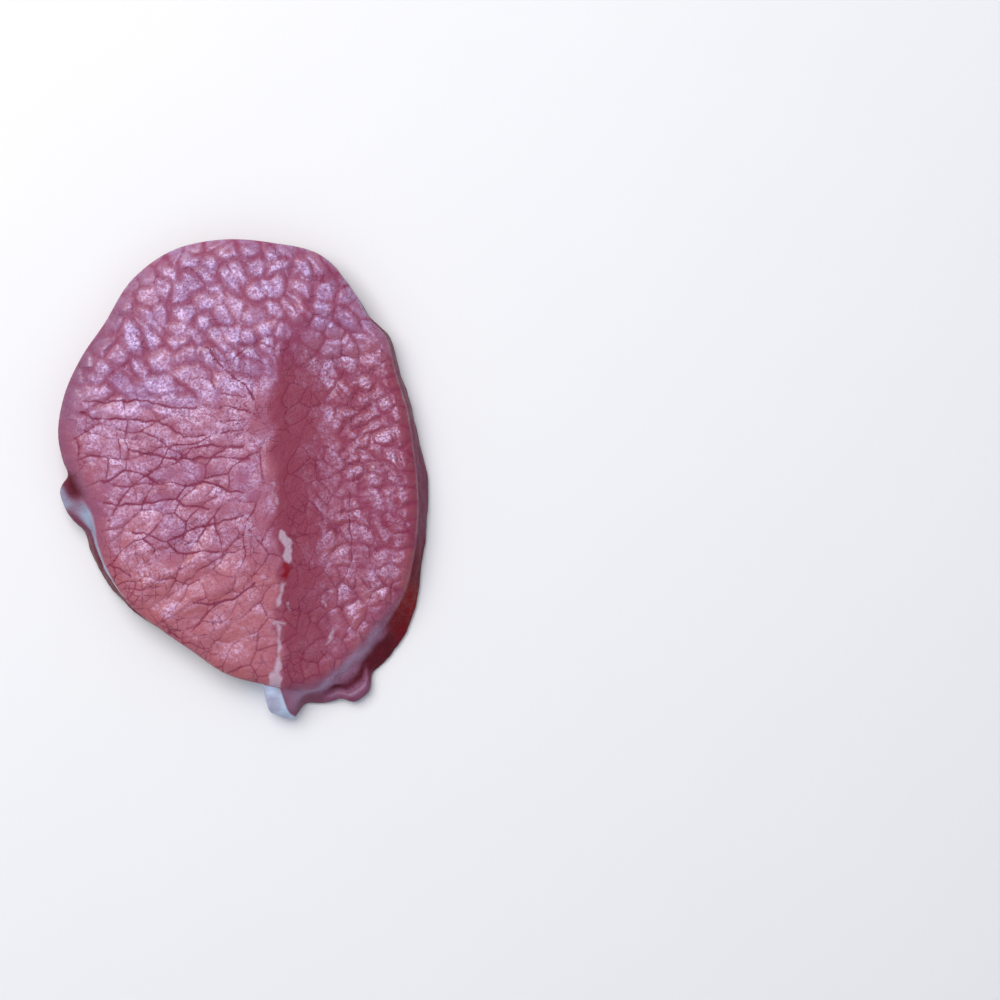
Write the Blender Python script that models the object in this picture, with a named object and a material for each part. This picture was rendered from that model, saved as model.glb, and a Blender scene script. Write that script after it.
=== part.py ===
"""Eye round steak: one raw slice lying on its flat underside, modelled as one solid."""

import math

import bmesh
import bpy
import numpy as np

# Lengths are in millimetres and bearings in degrees from +X towards +Y, unless the name says otherwise.
METRES_PER_MM = 0.001

# Radius of the cut face from the middle of the slice, every 12 degrees
RIM_RADII = (
    40.6, 40.5, 41.8, 43.9, 48.6, 51.8, 56.8, 57.3, 58.1, 58.1,
    55.6, 51.1, 49.6, 48.4, 46.4, 42.2, 38.8, 39.4, 40.2, 41.1,
    41.4, 43.1, 46.8, 49.4, 52.8, 50.5, 48.0, 46.2, 43.6, 41.7,
)

# How far the foot of the side wall stands out beyond the cut face, every 15 degrees
FOOT_REACH = (
    2.8, 1.7, 1.2, 0.8, -0.9, -1.6, -2.1, -2.3, -2.3, -2.2, -2.0, -1.0,
    0.2, 2.4, 2.7, 1.3, -0.4, -1.2, -1.6, 3.6, 5.9, 6.1, 3.1, 2.5,
)

# Swellings of the side wall: bearing, half width before, half width after, reach, height, half height,
# and how steeply it begins
FAT_LUMP = (186.8, 7.2, 9.6, 4.2, 4.4, 4.4, 4)
SEAM_TAB = (277.6, 2.8, 5.6, 6.7, 3.0, 4.8, 10)
RIM_FLAP = (297.6, 4.0, 4.0, 2.9, 1.6, 2.4, 4)
SWELLING_SIDES = 1.2
SWELLING_ENDS = 0.7

# Shallow dent in the rim at the upper right: bearing, half width and depth
RIM_DENT = (53.0, 5.0, 1.3)

# Thickness of the slice
BASE_THICKNESS = 10.5
LEFT_RISE = 1.3
LEFT_RISE_WIDTH = 17.0
SEAM_DROP = 2.9
SEAM_SLOPE_WIDTH = 14.0
SEAM_ROUNDING = 2.5
RIGHT_RISE = 0.9
RIGHT_RISE_WIDTH = 20.0
TOP_END_FALL = 1.0
BOTTOM_END_FALL = 1.6

# The seam crest runs down the slice from SEAM_TOP_Y, leaning to +X in its lower half
SEAM_X = 6.0
SEAM_LEAN = 1.7
SEAM_TOP_Y = 44.0
SEAM_FULL_Y = 26.0
SEAM_LEAN_LENGTH = 40.0

# Rounding of the upper edge: width of the shoulder every 30 degrees, its fall and its roundness
SHOULDER_WIDTHS = (3.5, 3.5, 4.0, 4.5, 5.0, 7.5, 8.0, 4.0, 3.0, 4.0, 4.5, 4.0)
SHOULDER_LEAST_FALL = 2.2
SHOULDER_FALL_SHARE = 0.25
SHOULDER_ROUNDNESS = 0.9
EDGE_RELIEF_SHARE = 0.35
EDGE_CALM_WIDTH = 2.5

# Meat bundles: hub they fan out from, and length and width of the bundles in each part of the face
HUB = (7.1, 11.9)
LEFT_BUNDLE = (13.0, 6.4)
RIGHT_BUNDLE = (5.2, 4.4)
TOP_BUNDLE = (6.4, 4.4)
TOP_GRAIN = -45.0
LOWER_BUNDLE = (11.0, 5.6)
LOWER_GRAIN = 38.0
BUNDLE_SEED = 7
BUNDLE_TRIES = 9000
BUNDLE_SPACING = 0.8
BUNDLE_WAVE = 0.9
CROWN_HEIGHT = 0.6
CROWN_SHARPNESS = 2.4

# Folds across the lower left of the face
FOLD_DEPTH = 0.22
FOLD_LENGTH = 8.6

# Main creases between bundles, each as points from its outer end inwards, and their depth and half width
CREASES = (
    ((-39.0, 19.0), (-25.0, 19.0), (-12.0, 17.5)),
    ((-39.0, 15.5), (-21.0, 14.0), (-15.0, 10.5), (-10.0, 11.0)),
    ((-28.0, 7.5), (-17.0, 5.0), (1.0, 5.0)),
    ((-34.0, -0.5), (-29.0, 2.3), (-20.0, -1.0)),
    ((-34.0, -5.5), (-17.0, -4.5), (-9.0, -7.0)),
    ((-27.5, -12.0), (-22.0, -14.0), (-17.0, -17.5), (-7.0, -17.0)),
    ((-19.0, -15.0), (-12.5, -11.5), (-0.5, -9.0)),
    ((-19.0, -28.0), (-10.0, -21.0), (0.5, -16.5)),
    ((-12.5, -29.5), (-2.0, -28.0), (2.0, -24.5)),
    ((-10.0, 32.0), (-5.0, 26.0), (2.0, 19.5)),
)
CREASE_DEPTH = 0.5
CREASE_HALF_WIDTH = 1.2

# The wall is built in rings, given as shares of the way down from the rim
WALL_SHARES = (0.12, 0.3, 0.5, 0.7, 0.88, 1.0)
WALL_BELLY = 0.4
WALL_FLARE = 1.25
LUMP_START_SHARE = 0.3
UNDER_EDGE_INSET = 0.7

# Cells along each side of the square grid that the cut face is shaped from
FACE_CELLS = 58

OBJECT_NAME = "eye_round_steak"
MEAT_COLOUR = (0.38, 0.13, 0.2, 1.0)
MEAT_ROUGHNESS = 0.34


def clear_scene():
    """Remove every object of the start-up scene."""
    for thing in list(bpy.data.objects):
        bpy.data.objects.remove(thing, do_unlink=True)


def smooth_step(value, low, high):
    """Ease from 0 at low to 1 at high."""
    share = np.clip((value - low) / (high - low), 0.0, 1.0)
    return share * share * (3.0 - 2.0 * share)


def around(values, bearing):
    """Follow evenly spaced values smoothly round the slice, at bearings in degrees."""
    table = np.asarray(values, dtype=float)
    count = len(table)
    place = np.mod(np.asarray(bearing) / 360.0, 1.0) * count
    whole = np.floor(place)
    here = whole.astype(int) % count
    part = place - whole
    first = table[(here - 1) % count]
    second = table[here]
    third = table[(here + 1) % count]
    fourth = table[(here + 2) % count]
    linear = (third - first) * part
    square = (2.0 * first - 5.0 * second + 4.0 * third - fourth) * part ** 2
    cube = (3.0 * second - first - 3.0 * third + fourth) * part ** 3
    return 0.5 * (2.0 * second + linear + square + cube)


def swelling(lump, bearing, height):
    """Reach of one swelling of the wall at bearings and heights."""
    middle, before, after, reach, middle_height, half_height, steepness = lump
    turn = np.mod(bearing - middle + 180.0, 360.0) - 180.0
    side = np.where(turn < 0.0, (turn / before) ** steepness, (turn / after) ** 4)
    level = (height - middle_height) / half_height
    return reach * np.exp(-SWELLING_SIDES * side - SWELLING_ENDS * level ** 2)


def rim_radius(bearing):
    """Radius of the cut face at bearings in degrees."""
    middle, half_width, depth = RIM_DENT
    turn = np.mod(bearing - middle + 180.0, 360.0) - 180.0
    return around(RIM_RADII, bearing) - depth * np.exp(-(turn / half_width) ** 2)


def seam_crest(y):
    """Distance of the seam crest from the Y axis."""
    return SEAM_X + SEAM_LEAN * smooth_step(-y, 0.0, SEAM_LEAN_LENGTH)


def broad_form(x, y):
    """Thickness of the slice without its bundles: a crest at the seam that falls away to the right."""
    beyond = x - seam_crest(y)
    seam_share = 1.0 - smooth_step(y, SEAM_FULL_Y, SEAM_TOP_Y)
    left = LEFT_RISE * np.exp(-(beyond / LEFT_RISE_WIDTH) ** 2)
    right = RIGHT_RISE * smooth_step(beyond, SEAM_SLOPE_WIDTH, SEAM_SLOPE_WIDTH + RIGHT_RISE_WIDTH)
    rounded = np.clip(beyond + SEAM_ROUNDING, 0.0, None) ** 2 / (4.0 * SEAM_ROUNDING)
    beyond = np.where(beyond < SEAM_ROUNDING, rounded, beyond)
    level_off = 1.0 - np.clip(beyond / SEAM_SLOPE_WIDTH, 0.0, 1.0)
    drop = SEAM_DROP * (1.0 - level_off ** 2)
    ends = TOP_END_FALL * smooth_step(y, 20.0, 56.0) + BOTTOM_END_FALL * smooth_step(-y, 20.0, 52.0)
    return BASE_THICKNESS + left + (right - drop) * seam_share - ends


def fold_form(x, y):
    """Slanting folds in the lower left of the face."""
    grain = math.radians(LOWER_GRAIN)
    across = -x * math.sin(grain) + y * math.cos(grain)
    wander = 1.2 * np.sin(x * 0.21 + y * 0.13)
    waves = np.sin(2.0 * math.pi * (across + wander) / FOLD_LENGTH)
    share = smooth_step(-x, -6.0, 6.0) * smooth_step(-y, 8.0, 22.0)
    return FOLD_DEPTH * waves * share


def local_bundle(x, y):
    """Length, width and grain direction in radians of the bundle at one place."""
    fan = math.atan2(y - HUB[1], x - HUB[0])
    top = float(smooth_step(y, 18.0, 30.0))
    right = float(smooth_step(x, 6.0, 14.0))
    lower = float(smooth_step(-y, 14.0, 28.0))
    length, width, grain = (*LEFT_BUNDLE, fan)
    if lower > 0.5:
        length, width, grain = (*LOWER_BUNDLE, math.radians(LOWER_GRAIN))
    if right > 0.5:
        length, width, grain = (*RIGHT_BUNDLE, fan)
    if top > 0.5:
        length, width, grain = (*TOP_BUNDLE, math.radians(TOP_GRAIN))
    return length, width, grain


def stretched_distance(x, y, bundles):
    """Distances from each place to the middle of every bundle, counted in that bundle's own sizes."""
    wavy_x = x + BUNDLE_WAVE * np.sin(0.42 * y + 0.13 * x)
    wavy_y = y + BUNDLE_WAVE * np.sin(0.37 * x - 0.11 * y)
    gap_x = wavy_x[:, None] - bundles[None, :, 0]
    gap_y = wavy_y[:, None] - bundles[None, :, 1]
    grain_x, grain_y = np.cos(bundles[:, 4]), np.sin(bundles[:, 4])
    along = (gap_x * grain_x + gap_y * grain_y) / bundles[:, 2]
    across = (gap_y * grain_x - gap_x * grain_y) / bundles[:, 3]
    return np.hypot(along, across)


def scatter_bundles():
    """Middle, length, width and grain of each bundle, scattered evenly over the face by throwing darts."""
    dice = np.random.default_rng(BUNDLE_SEED)
    half = max(RIM_RADII)
    kept = np.array([(0.0, 0.0, *local_bundle(0.0, 0.0))])
    for _ in range(BUNDLE_TRIES):
        dart = dice.uniform(-half, half, 2)
        if stretched_distance(dart[:1], dart[1:], kept).min() > BUNDLE_SPACING:
            kept = np.vstack((kept, (*dart, *local_bundle(*dart))))
    return kept


def bundle_form(x, y, bundles):
    """Low crowns of the bundles with narrow grooves between them."""
    near = np.partition(stretched_distance(x, y, bundles), 1, axis=1)
    inside = near[:, 1] - near[:, 0]
    return -CROWN_HEIGHT * np.exp(-CROWN_SHARPNESS * inside)


def distance_to_path(x, y, path):
    """Shortest distance from each place to a path of straight pieces."""
    nearest = np.full(x.shape, np.inf)
    for start, end in zip(path[:-1], path[1:]):
        step_x, step_y = end[0] - start[0], end[1] - start[1]
        share = ((x - start[0]) * step_x + (y - start[1]) * step_y) / (step_x ** 2 + step_y ** 2)
        share = np.clip(share, 0.0, 1.0)
        gap = np.hypot(x - start[0] - share * step_x, y - start[1] - share * step_y)
        nearest = np.minimum(nearest, gap)
    return nearest


def crease_form(x, y):
    """The main creases, each pressed in as a soft trough."""
    depth = np.zeros(x.shape)
    for path in CREASES:
        gap = distance_to_path(x, y, path)
        depth = np.maximum(depth, np.exp(-(gap / CREASE_HALF_WIDTH) ** 2))
    return -CREASE_DEPTH * depth


def shoulder_form(bearing, to_edge):
    """How far the face falls where it rounds over into the side wall."""
    width = around(SHOULDER_WIDTHS, bearing)
    share = SHOULDER_ROUNDNESS * np.clip(1.0 - to_edge / width, 0.0, 1.0)
    fall = SHOULDER_LEAST_FALL + SHOULDER_FALL_SHARE * width
    return -fall * (1.0 - np.sqrt(1.0 - share ** 2))


def place_on_face(bearing, share):
    """Place at a bearing and a share of the way from the middle to the rim."""
    radius = rim_radius(bearing) * share
    return radius * np.cos(np.radians(bearing)), radius * np.sin(np.radians(bearing))


def face_height(bearing, share, bundles):
    """Height of the cut face at bearings and shares of the way from the middle to the rim."""
    x, y = place_on_face(bearing, share)
    to_edge = rim_radius(bearing) * (1.0 - share)
    relief = fold_form(x, y) + bundle_form(x, y, bundles) + crease_form(x, y)
    inner = smooth_step(to_edge, 0.0, EDGE_CALM_WIDTH)
    relief = relief * (EDGE_RELIEF_SHARE + (1.0 - EDGE_RELIEF_SHARE) * inner)
    return broad_form(x, y) + relief + shoulder_form(bearing, to_edge)


def square_to_disc(across, up):
    """Turn places of a square into a bearing in degrees and a share of the radius."""
    x = across * np.sqrt(1.0 - up ** 2 / 2.0)
    y = up * np.sqrt(1.0 - across ** 2 / 2.0)
    return np.degrees(np.arctan2(y, x)), np.hypot(x, y)


def shape_face(mesh, bundles):
    """Bend a square grid into the cut face."""
    bmesh.ops.create_grid(mesh, x_segments=FACE_CELLS, y_segments=FACE_CELLS, size=1.0)
    places = np.array([vert.co[:2] for vert in mesh.verts])
    bearing, share = square_to_disc(places[:, 0], places[:, 1])
    x, y = place_on_face(bearing, share)
    height = face_height(bearing, share, bundles)
    for vert, *place in zip(mesh.verts, x, y, height):
        vert.co = place


def wall_radius(bearing, share, height):
    """Radius of the side wall at a share of the way down from the rim."""
    reach = around(FOOT_REACH, bearing) * share ** WALL_FLARE
    belly = WALL_BELLY * np.sin(math.pi * share)
    lumps = sum(swelling(lump, bearing, height) for lump in (FAT_LUMP, SEAM_TAB, RIM_FLAP))
    lumps = lumps * smooth_step(share, 0.0, LUMP_START_SHARE)
    inset = UNDER_EDGE_INSET if share == 1.0 else 0.0
    return rim_radius(bearing) + reach + belly + lumps - inset


def place_ring(verts, share, bundles):
    """Move a new ring of the wall down and out to its place."""
    places = np.array([vert.co[:2] for vert in verts])
    bearing = np.degrees(np.arctan2(places[:, 1], places[:, 0]))
    height = face_height(bearing, np.ones(len(verts)), bundles) * (1.0 - share)
    radius = wall_radius(bearing, share, height)
    x, y = radius * np.cos(np.radians(bearing)), radius * np.sin(np.radians(bearing))
    for vert, *place in zip(verts, x, y, height):
        vert.co = place


def shape_wall(mesh, bundles):
    """Draw the rim down to the resting face, ring by ring."""
    edges = [edge for edge in mesh.edges if edge.is_boundary]
    for share in WALL_SHARES:
        made = bmesh.ops.extrude_edge_only(mesh, edges=edges)["geom"]
        edges = [item for item in made if isinstance(item, bmesh.types.BMEdge)]
        verts = [item for item in made if isinstance(item, bmesh.types.BMVert)]
        place_ring(verts, share, bundles)


def close_underside(mesh):
    """Fill the flat face that the slice rests on."""
    edges = [edge for edge in mesh.edges if edge.is_boundary]
    bmesh.ops.contextual_create(mesh, geom=edges)


def centre_in_metres(mesh):
    """Put the middle of the resting outline on the origin and change to metres."""
    places = np.array([vert.co[:] for vert in mesh.verts])
    middle = (places.min(axis=0) + places.max(axis=0)) / 2.0
    for vert in mesh.verts:
        vert.co.x = (vert.co.x - middle[0]) * METRES_PER_MM
        vert.co.y = (vert.co.y - middle[1]) * METRES_PER_MM
        vert.co.z = vert.co.z * METRES_PER_MM


def meat_material():
    """Rose red of raw beef with a damp shine."""
    material = bpy.data.materials.new("raw_beef")
    material.use_nodes = True
    shader = material.node_tree.nodes["Principled BSDF"]
    shader.inputs["Base Color"].default_value = MEAT_COLOUR
    shader.inputs["Roughness"].default_value = MEAT_ROUGHNESS
    return material


def build_steak(collection):
    """Model the slice as one closed solid."""
    bundles = scatter_bundles()
    mesh = bmesh.new()
    shape_face(mesh, bundles)
    shape_wall(mesh, bundles)
    close_underside(mesh)
    centre_in_metres(mesh)
    bmesh.ops.recalc_face_normals(mesh, faces=mesh.faces)
    for face in mesh.faces:
        face.smooth = len(face.verts) == 4
    data = bpy.data.meshes.new("steak")
    mesh.to_mesh(data)
    mesh.free()
    data.materials.append(meat_material())
    collection.objects.link(bpy.data.objects.new("steak", data))


def main():
    """Build the object in a collection of its own."""
    clear_scene()
    collection = bpy.data.collections.new(OBJECT_NAME)
    bpy.context.scene.collection.children.link(collection)
    build_steak(collection)


main()
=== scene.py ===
"""Raw eye round steak lying flat, dressed and lit to be looked at from straight above."""

import logging
import math
from dataclasses import dataclass, field
from enum import Enum

import bpy
import numpy as np
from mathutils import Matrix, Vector, noise


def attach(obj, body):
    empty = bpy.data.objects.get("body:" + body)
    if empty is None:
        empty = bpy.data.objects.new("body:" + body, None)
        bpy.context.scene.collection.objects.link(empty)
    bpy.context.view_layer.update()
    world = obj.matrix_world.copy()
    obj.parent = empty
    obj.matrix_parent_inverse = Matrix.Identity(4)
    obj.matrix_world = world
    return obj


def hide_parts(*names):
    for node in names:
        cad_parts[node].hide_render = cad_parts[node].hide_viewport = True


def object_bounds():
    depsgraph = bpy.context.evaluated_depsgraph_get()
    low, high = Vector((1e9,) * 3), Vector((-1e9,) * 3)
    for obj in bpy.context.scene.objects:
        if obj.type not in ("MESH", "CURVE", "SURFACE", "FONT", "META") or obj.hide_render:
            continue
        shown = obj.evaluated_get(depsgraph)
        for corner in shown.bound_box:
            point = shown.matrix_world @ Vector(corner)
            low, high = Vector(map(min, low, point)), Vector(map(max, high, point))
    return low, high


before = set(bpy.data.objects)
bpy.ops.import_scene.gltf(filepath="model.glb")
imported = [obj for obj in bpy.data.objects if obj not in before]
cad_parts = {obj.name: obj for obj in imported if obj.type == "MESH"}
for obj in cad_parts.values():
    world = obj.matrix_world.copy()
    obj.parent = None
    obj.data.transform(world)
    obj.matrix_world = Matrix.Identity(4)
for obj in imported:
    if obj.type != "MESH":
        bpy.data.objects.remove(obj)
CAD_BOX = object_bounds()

Array = np.ndarray
Marks = dict[str, np.ndarray]
Corners = tuple[tuple[float, float], ...]
Colour = tuple[float, float, float]
Socket = bpy.types.NodeSocket

LOG = logging.getLogger("steak")
MM = 0.001
TINY = 1e-6


def smooth_step(value: Array, low: float, high: float) -> Array:
    """Ease from 0 at low to 1 at high.

    Args:
        value: Numbers to ease.
        low: Where the ease starts.
        high: Where the ease ends.

    Returns:
        Shares between 0 and 1.
    """
    share = np.clip((np.asarray(value, dtype=float) - low) / (high - low), 0.0, 1.0)
    return share * share * (3.0 - 2.0 * share)


def around(values: tuple[float, ...], bearing: Array) -> Array:
    """Follow evenly spaced values smoothly round the slice.

    Args:
        values: Values at even steps of bearing, starting at +X.
        bearing: Bearings in degrees.

    Returns:
        The value at each bearing.
    """
    table = np.asarray(values, dtype=float)
    count = len(table)
    place = np.mod(np.asarray(bearing) / 360.0, 1.0) * count
    whole = np.floor(place)
    here = whole.astype(int) % count
    part = place - whole
    first, second = table[(here - 1) % count], table[here]
    third, fourth = table[(here + 1) % count], table[(here + 2) % count]
    linear = (third - first) * part
    square = (2.0 * first - 5.0 * second + 4.0 * third - fourth) * part ** 2
    cube = (3.0 * second - first - 3.0 * third + fourth) * part ** 3
    return 0.5 * (2.0 * second + linear + square + cube)


def turned(bearing: Array, middle: float) -> Array:
    """Turn from a middle bearing to each bearing, between -180 and 180 degrees."""
    return np.mod(np.asarray(bearing) - middle + 180.0, 360.0) - 180.0


def bell(value: Array, half: float | Array, power: int = 2) -> Array:
    """Rise to 1 where a value is zero and fall off beyond a half width.

    Args:
        value: Numbers to weigh.
        half: Half width of the bell.
        power: Steepness; a higher one gives a flatter top and steeper sides, and an odd one needs values above zero.

    Returns:
        Shares between 0 and 1.
    """
    return np.exp(-(value / half) ** power)


def on_ring(bearing: Array, radius: float = 43.0) -> tuple[Array, Array]:
    """Places on a ring of the slice's usual radius, so that noise closes round the wall."""
    return radius * np.cos(np.radians(bearing)), radius * np.sin(np.radians(bearing))


def ripple(x: Array, y: Array, size: float, salt: float | Array) -> Array:
    """Smooth even noise over the plane.

    Args:
        x: Places along X, in millimetres.
        y: Places along Y, in millimetres.
        size: Size of a ripple, in millimetres.
        salt: Any number, or one for each place; another one gives another noise.

    Returns:
        Values of about -1 to 1.
    """
    depth = np.broadcast_to(salt, np.shape(x))
    spots = zip((x / size).tolist(), (y / size).tolist(), depth.tolist())
    return np.array([noise.noise(Vector(spot)) for spot in spots]) * 1.6


def path_offset(x: Array, y: Array, start: tuple[float, float],
                end: tuple[float, float]) -> tuple[Array, Array]:
    """Measure from the nearest point of a straight piece to each place.

    Args:
        x: Places along X.
        y: Places along Y.
        start: One end of the piece.
        end: Its other end.

    Returns:
        Offsets along X and along Y.
    """
    step_x, step_y = end[0] - start[0], end[1] - start[1]
    share = ((x - start[0]) * step_x + (y - start[1]) * step_y) / (step_x ** 2 + step_y ** 2)
    share = np.clip(share, 0.0, 1.0)
    return x - start[0] - share * step_x, y - start[1] - share * step_y


def path_gap(x: Array, y: Array, path: Corners) -> Array:
    """Shortest distance from each place to a path of straight pieces.

    Args:
        x: Places along X.
        y: Places along Y.
        path: Corners of the path.

    Returns:
        Distances in the same unit.
    """
    return np.min([np.hypot(*path_offset(x, y, *ends)) for ends in zip(path[:-1], path[1:])], axis=0)


@dataclass(frozen=True)
class Swelling:
    """A lump of the side wall: where it stands and how far it reaches, in degrees and millimetres."""

    middle: float
    before: float
    after: float
    reach: float
    height: float
    half_height: float
    steepness: int = 4

    def stand_out(self, bearing: Array, level: Array) -> Array:
        """Work out how far the lump stands out of the wall.

        Args:
            bearing: Bearings in degrees.
            level: Heights above the board, in millimetres.

        Returns:
            Distances in millimetres.
        """
        turn = turned(bearing, self.middle)
        side = np.where(turn < 0.0, (turn / self.before) ** self.steepness, (turn / self.after) ** 4)
        up = (level - self.height) / self.half_height
        return self.reach * np.exp(-1.2 * side - 0.7 * up ** 2)


@dataclass(frozen=True)
class Form:
    """Plan and thickness of the slice, in millimetres and degrees."""

    rim_radii: tuple[float, ...] = (
        40.6, 40.5, 41.8, 43.9, 48.6, 51.8, 56.8, 57.3, 58.1, 58.1,
        55.6, 51.1, 49.6, 48.4, 46.4, 42.2, 38.8, 39.4, 40.2, 41.1,
        41.4, 43.1, 46.8, 49.4, 52.8, 50.5, 48.0, 46.2, 43.6, 41.7,
    )
    foot_reach: tuple[float, ...] = (
        2.8, 1.7, 1.2, 0.8, -0.9, -1.6, -2.1, -2.3, -2.3, -2.2, -2.0, -1.0,
        0.2, 2.4, 2.7, 1.3, -0.4, -1.2, -1.6, 3.6, 5.9, 6.1, 3.1, 2.5,
    )
    fat_lump: Swelling = Swelling(186.8, 7.2, 9.6, 4.2, 4.4, 4.4)
    seam_tab: Swelling = Swelling(277.1, 2.8, 6.0, 6.7, 3.0, 4.8, 10)
    rim_flap: Swelling = Swelling(297.6, 4.0, 4.0, 2.9, 1.6, 2.4)
    rim_dent: tuple[float, float, float] = (53.0, 5.0, 1.3)
    roll_middle: float = 295.6
    roll_half: float = 6.6
    roll_start: float = 0.45
    roll_thickness: float = 3.2
    base_thickness: float = 10.5
    left_rise: float = 1.3
    left_rise_width: float = 17.0
    seam_drop: float = 2.9
    seam_rounding: float = 2.5
    seam_slope_width: float = 14.0
    right_rise: float = 0.9
    right_rise_width: float = 20.0
    top_end_fall: float = 1.0
    bottom_end_fall: float = 1.6
    seam_x: float = 6.0
    seam_lean: float = 1.7
    seam_lean_length: float = 40.0
    seam_top_y: float = 44.0
    seam_full_y: float = 26.0
    shoulder_widths: tuple[float, ...] = (3.5, 3.5, 4.0, 4.5, 5.0, 7.5, 8.0, 4.0, 3.0, 4.0, 4.5, 4.0)
    shoulder_least_fall: float = 2.2
    shoulder_fall_share: float = 0.25
    shoulder_roundness: float = 0.9
    wall_belly: float = 0.4
    wall_flare: float = 1.25
    lump_start_share: float = 0.3
    under_edge_inset: float = 0.7
    fold_depth: float = 0.22
    fold_length: float = 8.6
    fold_grain: float = 38.0

    def rim(self, bearing: Array) -> Array:
        """Radius of the cut face at bearings in degrees."""
        middle, half_width, depth = self.rim_dent
        return around(self.rim_radii, bearing) - depth * bell(turned(bearing, middle), half_width)

    def place(self, bearing: Array, share: Array) -> tuple[Array, Array]:
        """Find places on the face.

        Args:
            bearing: Bearings in degrees.
            share: Shares of the way from the middle to the rim.

        Returns:
            Places along X and along Y.
        """
        radius = self.rim(bearing) * share
        return radius * np.cos(np.radians(bearing)), radius * np.sin(np.radians(bearing))

    def beyond_seam(self, x: Array, y: Array) -> Array:
        """Distance to the right of the seam crest."""
        return x - self.seam_x - self.seam_lean * smooth_step(-y, 0.0, self.seam_lean_length)

    def seam_share(self, y: Array) -> Array:
        """How much of the seam's slope there is at each height of the face."""
        return 1.0 - smooth_step(y, self.seam_full_y, self.seam_top_y)

    def broad(self, x: Array, y: Array) -> Array:
        """Work out the thickness without the bundles.

        Args:
            x: Places along X.
            y: Places along Y.

        Returns:
            Heights above the board.
        """
        beyond = self.beyond_seam(x, y)
        left = self.left_rise * bell(beyond, self.left_rise_width)
        far = self.seam_slope_width + self.right_rise_width
        right = self.right_rise * smooth_step(beyond, self.seam_slope_width, far)
        rounded = np.clip(beyond + self.seam_rounding, 0.0, None) ** 2 / (4.0 * self.seam_rounding)
        beyond = np.where(beyond < self.seam_rounding, rounded, beyond)
        level_off = 1.0 - np.clip(beyond / self.seam_slope_width, 0.0, 1.0)
        drop = self.seam_drop * (1.0 - level_off ** 2)
        ends = self.top_end_fall * smooth_step(y, 20.0, 56.0) + self.bottom_end_fall * smooth_step(-y, 20.0, 52.0)
        return self.base_thickness + left + (right - drop) * self.seam_share(y) - ends

    def folds(self, x: Array, y: Array) -> Array:
        """Work out the slanting folds in the lower left of the face.

        Args:
            x: Places along X.
            y: Places along Y.

        Returns:
            Heights to add.
        """
        grain = math.radians(self.fold_grain)
        across = -x * math.sin(grain) + y * math.cos(grain)
        wander = 1.2 * np.sin(x * 0.21 + y * 0.13)
        waves = np.sin(2.0 * math.pi * (across + wander) / self.fold_length)
        share = smooth_step(-x, -6.0, 6.0) * smooth_step(-y, 8.0, 22.0)
        return self.fold_depth * waves * share

    def shoulder(self, bearing: Array, to_edge: Array) -> Array:
        """Work out how far the face falls where it rounds over into the wall.

        Args:
            bearing: Bearings in degrees.
            to_edge: Distances from the rim.

        Returns:
            Falls, as numbers below zero.
        """
        width = around(self.shoulder_widths, bearing)
        share = self.shoulder_roundness * np.clip(1.0 - to_edge / width, 0.0, 1.0)
        fall = self.shoulder_least_fall + self.shoulder_fall_share * width
        return -fall * (1.0 - np.sqrt(1.0 - share ** 2))

    def wall_radius(self, bearing: Array, share: Array, level: Array) -> Array:
        """Work out the radius of the side wall.

        Args:
            bearing: Bearings in degrees.
            share: Shares of the way down from the rim.
            level: Heights above the board.

        Returns:
            Radii from the middle of the slice.
        """
        reach = around(self.foot_reach, bearing) * share ** self.wall_flare
        belly = self.wall_belly * np.sin(math.pi * share)
        swellings = (self.fat_lump, self.seam_tab, self.rim_flap)
        lumps = sum(lump.stand_out(bearing, level) for lump in swellings)
        lumps = lumps * smooth_step(share, 0.0, self.lump_start_share)
        inset = self.under_edge_inset * smooth_step(share, 0.88, 1.0)
        return self.rim(bearing) + reach + belly + lumps - inset

    def roll_share(self, bearing: Array, share: Array) -> Array:
        """How far the wall is part of the rolled membrane at its foot, from 0 to 1."""
        within = bell(turned(bearing, self.roll_middle), self.roll_half, 8)
        return within * smooth_step(share, self.roll_start - 0.1, self.roll_start)

    def roll(self, bearing: Array, share: Array, radius: Array,
             level: Array) -> tuple[Array, Array]:
        """Round the foot of the wall into a rolled membrane.

        Args:
            bearing: Bearings in degrees.
            share: Shares of the way down from the rim.
            radius: Radii of the plain wall.
            level: Heights of the plain wall above the board.

        Returns:
            The new radii and heights.
        """
        grown = smooth_step(turned(bearing, self.roll_middle), -7.0, 1.0)
        half = self.roll_thickness * (0.3 + 0.2 * grown)
        foot = self.rim(bearing) + 0.92 * around(self.foot_reach, bearing)
        foot = foot + self.rim_flap.stand_out(bearing, np.full_like(level, self.rim_flap.height))
        angle = np.radians(150.0 - 210.0 * np.clip((share - self.roll_start) / (1.0 - self.roll_start), 0.0, 1.0))
        blend = self.roll_share(bearing, share)
        round_radius = foot - half + half * np.cos(angle)
        round_level = half * (math.sin(math.radians(60.0)) + np.sin(angle))
        return radius + blend * (round_radius - radius), level + blend * (round_level - level)


class Part(Enum):
    """Parts of the cut face, each with bundles of its own size and run."""

    LEFT = "left"
    RIGHT = "right"
    TOP = "top"
    LOWER = "lower"


@dataclass(frozen=True)
class Find:
    """The nearest line at each place: its distance in millimetres and the way to it.

    The owner is the number of the bundle or crease, and reach is 0 in the middle of a bundle.
    """

    gap: Array
    toward_x: Array
    toward_y: Array
    owner: Array
    reach: Array


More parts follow.
